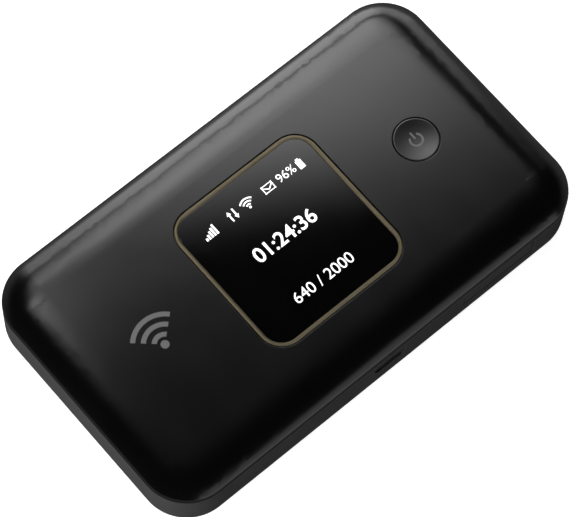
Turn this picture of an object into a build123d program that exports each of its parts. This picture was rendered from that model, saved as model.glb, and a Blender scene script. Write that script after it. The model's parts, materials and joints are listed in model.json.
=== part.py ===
from build123d import *
from math import atan2, cos, sin
import os

# Pocket mobile hotspot lying on its back, display up.
# Millimetres. The origin is the centre of the flat underside.
# +X runs along the body to the power button, +Y across it away from the USB port, +Z up.

os.makedirs("parts", exist_ok=True)

# ---------------------------------------------------------------------------
# Driving dimensions
# ---------------------------------------------------------------------------

# Outer form
body_length = 101.0
body_width = 58.0
body_height = 14.0
corner_radius = 9.5
wall = 1.5
skin = 1.2                 # thickness of the top cover
underside_round = 2.5      # rounding between the side wall and the underside
edge_break = 0.2           # small rounding on moulded edges

# Levels above the underside
back_seam_z = 1.2          # back cover below, side frame above
top_seam_z = 10.7          # side frame below, top cover above
rim_z = 11.85              # where the pillow meets the side of the top cover
ring_proud = 0.15          # the display ring stands this far above the cover
crown_z = body_height - ring_proud
seam_gap = 0.15

# Pillow top
roll_width = 8.4           # width of the band that rolls down to the rim
rim_round = 0.8
shadow_depth = 0.5         # groove between the top cover and the side frame
shadow_height = 0.22

# Display
ring_outer = 33.2
ring_outer_radius = 5.0
window_size = 31.5
window_radius = 3.9
window_thickness = 0.87
ring_flange = 1.1          # how far the hidden flange reaches under the cover
ring_flange_thickness = 0.5
ring_ledge = 1.0           # width of the ledge that the window is glued to
ring_gap = 0.22
window_sink = 0.28         # the window's face lies this far below the ring's top
adhesive_thickness = 0.1
fit_gap = 0.05             # between pieces that are glued or clipped together
cut_over = 1.0             # cuts run this far past the face that they open

# Power button
button_x = 32.0
button_diameter = 9.0
button_gap = 0.14
button_flange = 0.8
button_flange_thickness = 0.5
dish_depth = 0.2
dish_inset = 0.3           # width of the flat rim round the dish
press_travel = 0.3

# Micro USB port
usb_x = 0.5
usb_width = 7.4
usb_height = 2.4
usb_depth = 5.2
usb_sheet = 0.25
usb_recess = 0.35          # the shell's mouth lies this far inside the side wall
usb_margin = 0.15          # between the shell and the hole in the side wall

# Side key
key_x = 27.8
key_length = 17.3
key_low_z = 6.0
key_gap = 0.3
key_flange = 0.9
key_flange_thickness = 0.5
key_inset = 0.05

# Battery and its bay
battery_x = -8.5           # centre of the battery
battery_y = 2.3
battery_length = 61.4
battery_width = 45.4
battery_thickness = 4.9
battery_base_z = 1.4
battery_cap_length = 3.0
battery_gap = 0.3
terminal_pitch = 2.5
terminal_count = 4

# SIM card, its holder and the bay in front of it
sim_x = 33.0
sim_width = 12.0
sim_length = 15.0
sim_thickness = 0.76
sim_y = 9.5
sim_gap = 0.07
sim_bay_width = 17.0
sim_bay_y = 4.0            # centre of the bay
sim_bay_length = 34.0
bay_corner = 1.0

# Inner chassis
chassis_base_z = 1.3
chassis_plate_z = 7.1      # upper face of the plate
chassis_plate = 0.7
lip_height = 1.6           # lip of the back cover, above its plate
lip_thickness = 0.8

# Main board
board_z = 8.9              # underside of the board
board_thickness = 0.8
board_length = 93.6
board_width = 51.6
board_radius = 6.0

# Screws
screw_radius = 0.8
screw_head_radius = 1.5
screw_head_height = 0.8
screw_seat_z = 5.4
screw_x = 44.5
screw_y = 22.4
front_screw_y = -24.0
front_screw_xs = (-22.0, 13.0)
screw_tip_z = 11.5
boss_radius = 2.1

# Electronics
sheet = 0.2                # shielding sheet
shield_depth = 1.4
chip_height = 1.0
switch_height = 1.3
switch_size = 4.8
plunger_radius = 1.0
plunger_gap = 0.15
foil = 0.2                 # antenna foil
carrier_height = 1.5
flex_thickness = 0.15

# Upper side of the board
wifi_can_size = (18.0, 24.0)
wifi_place = (-28.0, 0.0)
wifi_chip_size = (9.0, 9.0)
wifi_antenna_size = (9.0, 3.0)
wifi_antenna_x = 27.0
wifi_antenna_y = 22.3
carrier_size = (6.8, 32.0)
carrier_x = 42.9
foil_size = (5.8, 30.0)
main_antenna_slots = 7
diversity_antenna_slots = 5
slot_reach = 0.75          # length of a slot over the width of the foil
slot_share = 0.4           # width of a slot over the pitch of the slots

# Underside of the board
modem_can_size = (28.0, 36.0)
modem_place = (-22.0, 0.0)
modem_chip_size = (13.0, 13.0)
memory_chip_size = (10.0, 11.0)
power_chip_size = (8.0, 8.0)
thermal_pad_size = (20.0, 20.0)
rf_can_size = (24.0, 34.0)
rf_place = (8.0, -1.0)
rf_chip_size = (7.0, 7.0)
amplifier_size = (3.5, 3.0)
amplifier_pitch = (5.5, 5.0)
reset_place = (44.4, 4.0)
reset_size = 3.6
reset_radius = 0.8
reset_hole_radius = 1.1
side_switch_y = -25.4      # face that the side key's plunger comes out of
side_switch_depth = 3.0
side_plunger_y = -26.1
side_plunger_radius = 0.5
side_plunger_z = 8.2
flange_high_z = 9.7        # upper edge of the side key's flange

# Display stack
foam_top_z = 9.9
backlight_top_z = 11.0
panel_top_z = 11.8
panel_size = (30.0, 32.6)
backlight_size = (31.0, 34.0)
foam_size = (29.0, 32.0)
gasket_width = 1.4
connector_size = (9.0, 2.4)
connector_y = 21.3
connector_height = 0.8
flex_width = 8.0
flex_bend = 1.0            # length of the flat ends of the flex
ring_inner_facet = 0.3
ring_outer_facet = 0.12

# Smaller details
hollow_drop = 0.9          # the cover's hollow keeps this much below the pillow at the rim
hollow_roll = 7.6
hollow_round = 0.1
cover_lip = 0.8
ledge_width = 0.8
back_plate = 1.0
notch_width = 10.0
notch_height = 0.5
scoop_width = 12.0
chip_spacing = 1.0
usb_clearance = 0.5
ledge_clearance = 1.5
key_clearance = 1.2
usb_taper = 0.9
usb_corner = 0.2
tongue_width = 4.4
tongue_thickness = 0.5
contact_thickness = 0.12
usb_contact_count = 5
usb_contact_pitch = 0.65
sim_lead = 1.0             # length of the card that stays outside its holder
sim_holder_size = (15.0, 16.0)
sim_corner = 1.0
sim_bevel = 2.5
terminal_size = 2.4
terminal_thickness = 0.3
terminal_block = (3.2, 11.6)
terminal_block_z = 2.7

# ---------------------------------------------------------------------------
# Derived sizes
# ---------------------------------------------------------------------------

inner_length = body_length - 2 * wall
inner_width = body_width - 2 * wall
inner_radius = corner_radius - wall
front_y = -body_width / 2
inner_front_y = front_y + wall
board_top_z = board_z + board_thickness
cover_under_z = crown_z - skin
window_top_z = body_height - window_sink
window_base_z = window_top_z - window_thickness
ledge_z = window_base_z - adhesive_thickness
ring_base_z = cover_under_z - ring_flange_thickness
usb_z = board_z - usb_height / 2
plate_under_z = chassis_plate_z - chassis_plate
switch_top_z = board_top_z + switch_height
plunger_top_z = switch_top_z + edge_break + press_travel
tongue_z = usb_z + tongue_thickness
sim_z = board_z - shield_depth + 2 * sheet
corner_screws = [(x, y) for x in (-screw_x, screw_x) for y in (-screw_y, screw_y)]
screw_places = corner_screws + [(x, front_screw_y) for x in front_screw_xs]


# ---------------------------------------------------------------------------
# Shared operations on the part being built
# ---------------------------------------------------------------------------

def block(size, centre, levels, radius=0.0, mode=Mode.ADD):
    """Upright block: size (x, y), centre (x, y), levels (low, high), rounded corners."""
    with BuildSketch(Plane.XY.offset(levels[0])) as profile:
        with Locations(centre):
            if radius:
                RectangleRounded(*size, radius)
            else:
                Rectangle(*size)
    extrude(profile.sketch, amount=levels[1] - levels[0], mode=mode)


def disc(radius, centres, levels, mode=Mode.ADD):
    """Upright round bar at each centre."""
    with BuildSketch(Plane.XY.offset(levels[0])) as profile:
        with Locations(*centres):
            Circle(radius)
    extrude(profile.sketch, amount=levels[1] - levels[0], mode=mode)


def frame_block(size, rim_width, levels, radius, mode=Mode.ADD):
    """Upright hollow block: a rim of the given width round a rounded rectangle."""
    with BuildSketch(Plane.XY.offset(levels[0])) as profile:
        RectangleRounded(*size, radius)
        offset(amount=-rim_width, kind=Kind.INTERSECTION, mode=Mode.SUBTRACT)
    extrude(profile.sketch, amount=levels[1] - levels[0], mode=mode)


def cross_block(size, centre, depths, radius=0.0, mode=Mode.ADD):
    """Block along Y: size (x, z), centre (x, z), depths (front y, back y)."""
    with BuildSketch(Plane.XZ.offset(-depths[1])) as profile:
        with Locations(centre):
            if radius:
                RectangleRounded(*size, radius)
            else:
                Rectangle(*size)
    extrude(profile.sketch, amount=depths[1] - depths[0], mode=mode)


def cross_bar(radius, centre, depths, mode=Mode.ADD):
    """Round bar along Y: centre (x, z), depths (front y, back y)."""
    with BuildSketch(Plane.XZ.offset(-depths[1])) as profile:
        with Locations(centre):
            Circle(radius)
    extrude(profile.sketch, amount=depths[1] - depths[0], mode=mode)


def pillow(length, width, radius, levels, roll, rounding):
    """Rounded block whose top rolls down to a rounded rim: levels are base, rim and crown."""
    base, rim, crown = levels
    block((length, width), (0, 0), (base, crown), radius)
    third = roll / 3
    slope = atan2(crown - rim, third)
    edge = radius - rounding * (1 - sin(slope))
    foot = rim - rounding * cos(slope)
    corner_x = length / 2 - radius
    corner_y = width / 2 - radius
    for turn in range(4):
        # Each quarter cuts one straight side and the corner after it, seen from the corner's axis
        outward = Vector(1, 0, 0).rotate(Axis.Z, 90 * turn)
        along = Vector(0, -1, 0).rotate(Axis.Z, 90 * turn)
        corner = Vector((outward.X - along.X) * corner_x, (outward.Y - along.Y) * corner_y, 0)
        with BuildSketch(Plane(origin=corner, x_dir=outward, z_dir=along)) as above_the_roll:
            with BuildLine():
                # The curve leaves the flat top without a crease: its curvature grows from zero
                Bezier((edge - roll, crown), (edge - 2 * third, crown), (edge - third, crown), (edge, rim))
                TangentArc((edge, rim), (radius, foot), tangent=(third, rim - crown))
                Polyline(
                    (radius, foot),
                    (radius + cut_over, foot),
                    (radius + cut_over, crown + cut_over),
                    (edge - roll, crown + cut_over),
                    (edge - roll, crown),
                )
            make_face()
        straight = 2 * abs(along.X * corner_x + along.Y * corner_y)
        extrude(above_the_roll.sketch, amount=straight, mode=Mode.SUBTRACT)
        revolve(
            above_the_roll.sketch,
            axis=Axis(corner, (0, 0, 1)),
            revolution_arc=90,
            mode=Mode.SUBTRACT,
        )


def usb_bar(grow, depths, mode=Mode.ADD):
    """Bar along Y with the outline of the micro USB shell, grown by a margin."""
    half = usb_width / 2 + grow
    low = usb_z - usb_height / 2 - grow
    high = usb_z + usb_height / 2 + grow
    with BuildSketch(Plane.XZ.offset(-depths[1])) as profile:
        with BuildLine():
            Polyline(
                (usb_x - half, high),
                (usb_x + half, high),
                (usb_x + half, low + usb_taper),
                (usb_x + half - usb_taper, low),
                (usb_x - half + usb_taper, low),
                (usb_x - half, low + usb_taper),
                close=True,
            )
        make_face()
        fillet(profile.vertices(), usb_corner)
    extrude(profile.sketch, amount=depths[1] - depths[0], mode=mode)


def shield_can(size, centre, levels, open_level):
    """Sheet-metal can over a group of chips, open at the board."""
    block(size, centre, levels, sheet * 2)
    floor = (levels[0], levels[1] - sheet) if open_level == levels[0] else (levels[0] + sheet, levels[1])
    block((size[0] - 2 * sheet, size[1] - 2 * sheet), centre, floor, sheet, Mode.SUBTRACT)


def meander(size, centre, levels, slots):
    """Antenna foil cut by slots from alternate sides."""
    block(size, centre, levels)
    pitch = size[1] / (slots + 1)
    for index in range(slots):
        side = 1 if index % 2 else -1
        place = (centre[0] + side * size[0] / 4, centre[1] - size[1] / 2 + pitch * (index + 1))
        block((size[0] * slot_reach, pitch * slot_share), place, levels, mode=Mode.SUBTRACT)


# ---------------------------------------------------------------------------
# Outer forms that several pieces are cut from
# ---------------------------------------------------------------------------

with BuildPart() as lower_form:
    block((body_length, body_width), (0, 0), (0, top_seam_z), corner_radius)
    fillet(lower_form.faces().sort_by(Axis.Z)[0].edges(), underside_round)

with BuildPart() as cover_hollow:
    pillow(
        body_length - 2 * skin,
        body_width - 2 * skin,
        corner_radius - skin,
        (top_seam_z, rim_z - hollow_drop, cover_under_z),
        hollow_roll,
        hollow_round,
    )

# ---------------------------------------------------------------------------
# Top cover: pillow-shaped skin with the display aperture, the button hole and the screw bosses
# ---------------------------------------------------------------------------

with BuildPart() as top_cover:
    pillow(body_length, body_width, corner_radius, (top_seam_z, rim_z, crown_z), roll_width, rim_round)
    add(cover_hollow.part, mode=Mode.SUBTRACT)
    # Lip that locates the cover inside the side frame, open where the side key moves
    lip_size = (inner_length - 2 * seam_gap, inner_width - 2 * seam_gap)
    frame_block(
        (inner_length + wall / 2, inner_width + wall / 2),
        wall / 4 + seam_gap + lip_thickness,
        (top_seam_z, top_seam_z + cover_lip / 2),
        inner_radius,
    )
    frame_block(lip_size, lip_thickness, (top_seam_z - cover_lip, top_seam_z), inner_radius - seam_gap)
    block(
        (key_length + 4 * key_flange, 4 * wall),
        (key_x, front_y),
        (top_seam_z - cover_lip, top_seam_z),
        mode=Mode.SUBTRACT,
    )
    # Shadow groove round the foot of the cover
    frame_block(
        (body_length + 2 * cut_over, body_width + 2 * cut_over),
        shadow_depth + cut_over,
        (top_seam_z, top_seam_z + shadow_height),
        corner_radius + cut_over,
        Mode.SUBTRACT,
    )
    # Screw bosses that stand on the board
    disc(boss_radius, screw_places, (board_top_z, cover_under_z + edge_break))
    disc(screw_radius + fit_gap, screw_places, (board_top_z, screw_tip_z + edge_break), Mode.SUBTRACT)
    # Apertures for the display ring and the power button
    aperture = ring_outer + 2 * ring_gap
    aperture_radius = ring_outer_radius + ring_gap
    block((aperture, aperture), (0, 0), (ring_base_z, body_height), aperture_radius, Mode.SUBTRACT)
    disc(button_diameter / 2 + button_gap, [(button_x, 0)], (ring_base_z, body_height), Mode.SUBTRACT)
    fillet(top_cover.edges().group_by(Axis.Z)[-1], edge_break / 2)
top_cover.part.label = "top_cover"
export_step(top_cover.part, "parts/top_cover.step")

# ---------------------------------------------------------------------------
# Display: metal ring, glued window, gasket, panel, backlight, foam and its flex
# ---------------------------------------------------------------------------

with BuildPart() as display_ring:
    block((ring_outer, ring_outer), (0, 0), (ring_base_z, body_height), ring_outer_radius)
    flange_size = ring_outer + 2 * ring_flange
    block(
        (flange_size, flange_size),
        (0, 0),
        (ring_base_z, cover_under_z),
        ring_outer_radius + ring_flange,
    )
    opening = window_size + 2 * fit_gap
    block((opening, opening), (0, 0), (ledge_z, body_height), window_radius + fit_gap, Mode.SUBTRACT)
    ledge_opening = window_size - 2 * ring_ledge
    block(
        (ledge_opening, ledge_opening),
        (0, 0),
        (ring_base_z, ledge_z),
        window_radius - ring_ledge,
        Mode.SUBTRACT,
    )
    ring_top = display_ring.faces().sort_by(Axis.Z)[-1]
    chamfer(ring_top.inner_wires()[0].edges(), ring_inner_facet)
    chamfer(display_ring.faces().sort_by(Axis.Z)[-1].outer_wire().edges(), ring_outer_facet)
display_ring.part.label = "display_ring"
export_step(display_ring.part, "parts/display_ring.step")

with BuildPart() as display_window:
    block((window_size, window_size), (0, 0), (window_base_z, window_top_z), window_radius)
    fillet(display_window.edges().group_by(Axis.Z)[-1], edge_break / 2)
display_window.part.label = "display_window"
export_step(display_window.part, "parts/display_window.step")

with BuildPart() as window_adhesive:
    frame_block(
        (window_size, window_size),
        ring_ledge - fit_gap,
        (ledge_z, window_base_z),
        window_radius,
    )
window_adhesive.part.label = "window_adhesive"
export_step(window_adhesive.part, "parts/window_adhesive.step")

with BuildPart() as display_gasket:
    frame_block((panel_size[0], panel_size[1]), gasket_width, (panel_top_z, ring_base_z), window_radius)
display_gasket.part.label = "display_gasket"
export_step(display_gasket.part, "parts/display_gasket.step")

with BuildPart() as display_panel:
    block(panel_size, (0, 0), (backlight_top_z, panel_top_z))
display_panel.part.label = "display_panel"
export_step(display_panel.part, "parts/display_panel.step")

with BuildPart() as display_backlight:
    block(backlight_size, (0, 0), (foam_top_z, backlight_top_z), edge_break)
display_backlight.part.label = "display_backlight"
export_step(display_backlight.part, "parts/display_backlight.step")

with BuildPart() as display_foam:
    block(foam_size, (0, 0), (board_top_z, foam_top_z))
display_foam.part.label = "display_foam"
export_step(display_foam.part, "parts/display_foam.step")

with BuildPart() as display_connector:
    block(connector_size, (0, connector_y), (board_top_z, board_top_z + connector_height))
display_connector.part.label = "display_connector"
export_step(display_connector.part, "parts/display_connector.step")

with BuildPart() as display_flex:
    flex_start_y = backlight_size[1] / 2
    flex_low_z = foam_top_z + edge_break
    flex_high_z = board_top_z + connector_height
    flex_end_y = connector_y + connector_size[1] / 2
    with BuildSketch(Plane.YZ.offset(-flex_width / 2)) as flex_profile:
        with BuildLine():
            Polyline(
                (flex_start_y, flex_low_z),
                (flex_start_y + flex_bend, flex_low_z),
                (flex_end_y - connector_size[1], flex_high_z),
                (flex_end_y, flex_high_z),
                (flex_end_y, flex_high_z + flex_thickness),
                (flex_end_y - connector_size[1], flex_high_z + flex_thickness),
                (flex_start_y + flex_bend, flex_low_z + flex_thickness),
                (flex_start_y, flex_low_z + flex_thickness),
                close=True,
            )
        make_face()
    extrude(flex_profile.sketch, amount=flex_width)
display_flex.part.label = "display_flex"
export_step(display_flex.part, "parts/display_flex.step")

# ---------------------------------------------------------------------------
# Power button and the tactile switch under it
# ---------------------------------------------------------------------------

with BuildPart() as power_button:
    button_radius = button_diameter / 2
    flange_top_z = cover_under_z - button_gap
    flange_low_z = flange_top_z - button_flange_thickness
    disc(button_radius, [(button_x, 0)], (flange_top_z, crown_z))
    fillet(power_button.edges().group_by(Axis.Z)[-1], edge_break)
    disc(button_radius + button_flange, [(button_x, 0)], (flange_low_z, flange_top_z))
    disc(plunger_radius + edge_break, [(button_x, 0)], (plunger_top_z, flange_low_z))
    dish_rim = button_radius - dish_inset
    dish_radius = (dish_rim**2 + dish_depth**2) / (2 * dish_depth)
    with Locations((button_x, 0, crown_z + dish_radius - dish_depth)):
        Sphere(dish_radius, mode=Mode.SUBTRACT)
power_button.part.label = "power_button"
export_step(power_button.part, "parts/power_button.step")

with BuildPart() as power_switch_body:
    block((switch_size, switch_size), (button_x, 0), (board_top_z, switch_top_z), edge_break)
    disc(plunger_radius + plunger_gap, [(button_x, 0)], (board_top_z + sheet, switch_top_z), Mode.SUBTRACT)
power_switch_body.part.label = "power_switch_body"
export_step(power_switch_body.part, "parts/power_switch_body.step")

with BuildPart() as power_switch_plunger:
    disc(plunger_radius, [(button_x, 0)], (board_top_z + sheet + press_travel + edge_break, plunger_top_z))
power_switch_plunger.part.label = "power_switch_plunger"
export_step(power_switch_plunger.part, "parts/power_switch_plunger.step")

# ---------------------------------------------------------------------------
# Side frame: wall all round, with the USB mouth and the pocket of the side key
# ---------------------------------------------------------------------------

with BuildPart() as side_frame:
    add(lower_form.part)
    split(bisect_by=Plane.XY.offset(back_seam_z + seam_gap), keep=Keep.TOP)
    block((inner_length, inner_width), (0, 0), (0, top_seam_z), inner_radius, Mode.SUBTRACT)
    fillet(side_frame.faces().sort_by(Axis.Z)[-1].outer_wire().edges(), edge_break)
    # Ledge that the chassis plate is screwed up against
    frame_block(
        (inner_length, inner_width),
        ledge_width,
        (chassis_plate_z, chassis_plate_z + ledge_width),
        inner_radius,
    )
    ledge_breaks = (
        (usb_x, usb_width + 2 * ledge_clearance),
        (key_x, key_length + 4 * key_flange),
    )
    for ledge_break_x, ledge_break_length in ledge_breaks:
        block(
            (ledge_break_length, 2 * ledge_width),
            (ledge_break_x, inner_front_y + ledge_width),
            (chassis_plate_z, chassis_plate_z + ledge_width),
            mode=Mode.SUBTRACT,
        )
    # Mouth of the USB port
    usb_bar(usb_margin, (front_y - cut_over, inner_front_y + cut_over), Mode.SUBTRACT)
    # Pocket of the side key, open at the top seam, with a bevelled lower lip
    cross_block(
        (key_length + 2 * key_gap, 2 * (top_seam_z - key_low_z)),
        (key_x, top_seam_z - key_gap),
        (front_y - cut_over, inner_front_y + cut_over),
        mode=Mode.SUBTRACT,
    )
    pocket_floor = side_frame.edges().filter_by(Axis.X).group_by(Axis.Y)[0].sort_by(Axis.Z)
    chamfer(pocket_floor.filter_by_position(Axis.Z, key_low_z - 2 * key_gap, key_low_z), key_gap)
side_frame.part.label = "side_frame"
export_step(side_frame.part, "parts/side_frame.step")

# ---------------------------------------------------------------------------
# Side key and the tactile switch behind it
# ---------------------------------------------------------------------------

with BuildPart() as side_key:
    key_high_z = top_seam_z - key_gap
    key_face_y = front_y + key_inset
    flange_front_y = inner_front_y + seam_gap
    flange_back_y = flange_front_y + key_flange_thickness
    key_mid_z = (key_low_z + key_high_z) / 2
    key_size = (key_length, key_high_z - key_low_z)
    cross_block(key_size, (key_x, key_mid_z), (key_face_y, flange_front_y), edge_break)
    fillet(side_key.faces().sort_by(Axis.Y)[0].edges(), edge_break)
    cross_block(
        (key_length + 2 * key_flange, flange_high_z - key_low_z + key_flange),
        (key_x, (flange_high_z + key_low_z - key_flange) / 2),
        (flange_front_y, flange_back_y),
    )
    cross_bar(side_plunger_radius * 2, (key_x, side_plunger_z), (flange_back_y, side_plunger_y))
side_key.part.label = "side_key"
export_step(side_key.part, "parts/side_key.step")

with BuildPart() as side_switch_body:
    block(
        (switch_size, side_switch_depth),
        (key_x, side_switch_y + side_switch_depth / 2),
        (board_z - switch_height, board_z),
    )
    side_bore_y = side_switch_y + 1.5 * side_plunger_radius + press_travel
    cross_bar(
        side_plunger_radius + plunger_gap,
        (key_x, side_plunger_z),
        (side_switch_y, side_bore_y),
        Mode.SUBTRACT,
    )
side_switch_body.part.label = "side_switch_body"
export_step(side_switch_body.part, "parts/side_switch_body.step")

with BuildPart() as side_switch_plunger:
    cross_bar(
        side_plunger_radius,
        (key_x, side_plunger_z),
        (side_plunger_y, side_bore_y - press_travel - edge_break),
    )
side_switch_plunger.part.label = "side_switch_plunger"
export_step(side_switch_plunger.part, "parts/side_switch_plunger.step")

# ---------------------------------------------------------------------------
# Micro USB port: sheet-metal shell, tongue and contacts
# ---------------------------------------------------------------------------

usb_front_y = front_y + usb_recess
usb_back_y = usb_front_y + usb_depth

with BuildPart() as micro_usb_shell:
    usb_bar(0, (usb_front_y, usb_back_y))
    usb_bar(-usb_sheet, (usb_front_y, usb_back_y - usb_sheet), Mode.SUBTRACT)
micro_usb_shell.part.label = "micro_usb_shell"
export_step(micro_usb_shell.part, "parts/micro_usb_shell.step")

with BuildPart() as usb_tongue:
    cross_block(
        (tongue_width, tongue_thickness),
        (usb_x, tongue_z),
        (usb_front_y + usb_sheet * 2, usb_back_y - usb_sheet),
    )
usb_tongue.part.label = "usb_tongue"
export_step(usb_tongue.part, "parts/usb_tongue.step")

with BuildPart() as usb_contacts:
    for index in range(usb_contact_count):
        contact_x = usb_x + (index - (usb_contact_count - 1) / 2) * usb_contact_pitch
        cross_block(
            (usb_contact_pitch / 2, contact_thickness),
            (contact_x, tongue_z - (tongue_thickness + contact_thickness) / 2),
            (usb_front_y + usb_sheet * 4, usb_back_y - usb_sheet),
        )
usb_contacts.part.label = "usb_contacts"
export_step(usb_contacts.part, "parts/usb_contacts.step")

# ---------------------------------------------------------------------------
# Back cover: flat plate with a rounded edge, a locating lip and a nail notch
# ---------------------------------------------------------------------------

with BuildPart() as back_cover:
    add(lower_form.part)
    split(bisect_by=Plane.XY.offset(back_seam_z), keep=Keep.BOTTOM)
    block((inner_length, inner_width), (0, 0), (back_plate, back_seam_z), inner_radius, Mode.SUBTRACT)
    frame_block(lip_size, lip_thickness, (back_plate, back_plate + lip_height), inner_radius - seam_gap)
    block(
        (2 * wall / 3, notch_width),
        (body_length / 2 - wall / 6, 0),
        (back_seam_z - notch_height, back_seam_z),
        mode=Mode.SUBTRACT,
    )
back_cover.part.label = "back_cover"
export_step(back_cover.part, "parts/back_cover.step")

# ---------------------------------------------------------------------------
# Inner chassis: plate under the board with the battery bay and the SIM bay below it
# ---------------------------------------------------------------------------

battery_left_x = battery_x - battery_length / 2
bay_size = (battery_length + 2 * battery_gap, battery_width + 2 * battery_gap)
bay_right_x = battery_x + bay_size[0] / 2

with BuildPart() as inner_chassis:
    chassis_size = (inner_length - 4 * fit_gap, inner_width - 4 * fit_gap)
    foot_inset = 2 * (seam_gap + lip_thickness + battery_gap)
    foot_size = (inner_length - foot_inset, inner_width - foot_inset)
    foot_top_z = back_plate + lip_height + battery_gap
    block(foot_size, (0, 0), (chassis_base_z, foot_top_z), inner_radius - foot_inset / 2)
    block(chassis_size, (0, 0), (foot_top_z, chassis_plate_z), inner_radius - 2 * fit_gap)
    block(bay_size, (battery_x, battery_y), (chassis_base_z, plate_under_z), edge_break, Mode.SUBTRACT)
    block(
        (sim_bay_width, sim_bay_length),
        (sim_x, sim_bay_y),
        (chassis_base_z, chassis_plate_z),
        bay_corner,
        Mode.SUBTRACT,
    )
    # Finger scoop between the two bays
    block(
        (sim_x - bay_right_x, scoop_width),
        ((sim_x + bay_right_x) / 2, battery_y),
        (chassis_base_z, battery_base_z + battery_thickness / 2),
        mode=Mode.SUBTRACT,
    )
    # Slot for the battery connector
    block(
        (terminal_block[0] + 2 * fit_gap + battery_gap, terminal_block[1] + 4 * fit_gap),
        (battery_left_x - battery_gap - terminal_block[0] / 2, battery_y),
        (terminal_block_z - edge_break, chassis_plate_z),
        mode=Mode.SUBTRACT,
    )
    # Clearance for the USB shell and the side key's flange
    block(
        (usb_width + 2 * usb_clearance, inner_front_y + usb_depth - front_y),
        (usb_x, inner_front_y + (usb_depth - wall) / 2),
        (usb_z - usb_height / 2 - edge_break, chassis_plate_z),
        mode=Mode.SUBTRACT,
    )
    block(
        (key_length + 4 * key_flange, 2 * key_clearance),
        (key_x, inner_front_y),
        (key_low_z - 2 * key_flange, chassis_plate_z),
        mode=Mode.SUBTRACT,
    )
    # Hole for the reset plunger, and the screw holes with deep seats
    disc(reset_hole_radius, [reset_place], (chassis_base_z, chassis_plate_z), Mode.SUBTRACT)
    disc(screw_radius + 2 * fit_gap, screw_places, (chassis_base_z, chassis_plate_z), Mode.SUBTRACT)
    disc(screw_head_radius + edge_break, screw_places, (chassis_base_z, screw_seat_z), Mode.SUBTRACT)
inner_chassis.part.label = "inner_chassis"
export_step(inner_chassis.part, "parts/inner_chassis.step")

with BuildPart() as housing_screws:
    disc(screw_head_radius, screw_places, (screw_seat_z - screw_head_height, screw_seat_z))
    disc(screw_radius, screw_places, (screw_seat_z, screw_tip_z))
    for place in screw_places:
        for recess in ((screw_radius * 2, sheet * 2), (sheet * 2, screw_radius * 2)):
            recess_levels = (screw_seat_z - screw_head_height, screw_seat_z - screw_head_height / 2)
            block(recess, place, recess_levels, mode=Mode.SUBTRACT)
housing_screws.part.label = "housing_screws"
export_step(housing_screws.part, "parts/housing_screws.step")

# ---------------------------------------------------------------------------
# Main board and what is soldered to its underside
# ---------------------------------------------------------------------------

with BuildPart() as main_board:
    block((board_length, board_width), (0, 0), (board_z, board_top_z), board_radius)
    disc(screw_radius + 2 * plunger_gap, screw_places, (board_z, board_top_z), Mode.SUBTRACT)
main_board.part.label = "main_board"
export_step(main_board.part, "parts/main_board.step")

under_can = (board_z - shield_depth, board_z)
under_chip = (board_z - chip_height, board_z)
small_chips_y = modem_place[1] - memory_chip_size[1]

with BuildPart() as modem_shield:
    shield_can(modem_can_size, modem_place, under_can, board_z)
modem_shield.part.label = "modem_shield"
export_step(modem_shield.part, "parts/modem_shield.step")

with BuildPart() as rf_shield:
    shield_can(rf_can_size, rf_place, under_can, board_z)
rf_shield.part.label = "rf_shield"
export_step(rf_shield.part, "parts/rf_shield.step")

with BuildPart() as modem_chip:
    modem_chip_y = modem_place[1] + modem_chip_size[1] / 2 + chip_spacing
    block(modem_chip_size, (modem_place[0], modem_chip_y), under_chip)
modem_chip.part.label = "modem_chip"
export_step(modem_chip.part, "parts/modem_chip.step")

with BuildPart() as memory_chip:
    memory_chip_x = modem_place[0] - memory_chip_size[0] / 2 - chip_spacing
    block(memory_chip_size, (memory_chip_x, small_chips_y), under_chip)
memory_chip.part.label = "memory_chip"
export_step(memory_chip.part, "parts/memory_chip.step")

with BuildPart() as power_chip:
    power_chip_x = modem_place[0] + power_chip_size[0] / 2 + chip_spacing
    block(power_chip_size, (power_chip_x, small_chips_y), under_chip)
power_chip.part.label = "power_chip"
export_step(power_chip.part, "parts/power_chip.step")

with BuildPart() as rf_transceiver:
    block(rf_chip_size, (rf_place[0], rf_place[1] + rf_chip_size[1]), under_chip)
rf_transceiver.part.label = "rf_transceiver"
export_step(rf_transceiver.part, "parts/rf_transceiver.step")

with BuildPart() as power_amplifiers:
    with BuildSketch(Plane.XY.offset(under_chip[0])) as amplifier_outline:
        with Locations((rf_place[0], rf_place[1] - rf_chip_size[1])):
            with GridLocations(*amplifier_pitch, 3, 2):
                Rectangle(*amplifier_size)
    extrude(amplifier_outline.sketch, amount=chip_height)
power_amplifiers.part.label = "power_amplifiers"
export_step(power_amplifiers.part, "parts/power_amplifiers.step")

with BuildPart() as thermal_pad:
    block(thermal_pad_size, modem_place, (chassis_plate_z, board_z - shield_depth))
thermal_pad.part.label = "thermal_pad"
export_step(thermal_pad.part, "parts/thermal_pad.step")

with BuildPart() as sim_holder:
    holder_y = sim_y - sim_length / 2 + sim_lead + sim_holder_size[1] / 2
    holder_front_y = holder_y - sim_holder_size[1] / 2
    block(sim_holder_size, (sim_x, holder_y), (board_z - shield_depth, board_z))
    block(
        (sim_width + 4 * sim_gap, sim_length - sim_lead + sim_gap),
        (sim_x, holder_front_y + (sim_length - sim_lead + sim_gap) / 2),
        (sim_z - sim_gap, sim_z + sim_thickness + sim_gap),
        mode=Mode.SUBTRACT,
    )
    disc(sim_width / 3, [(sim_x, holder_front_y)], (board_z - shield_depth, sim_z), Mode.SUBTRACT)
sim_holder.part.label = "sim_holder"
export_step(sim_holder.part, "parts/sim_holder.step")

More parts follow.
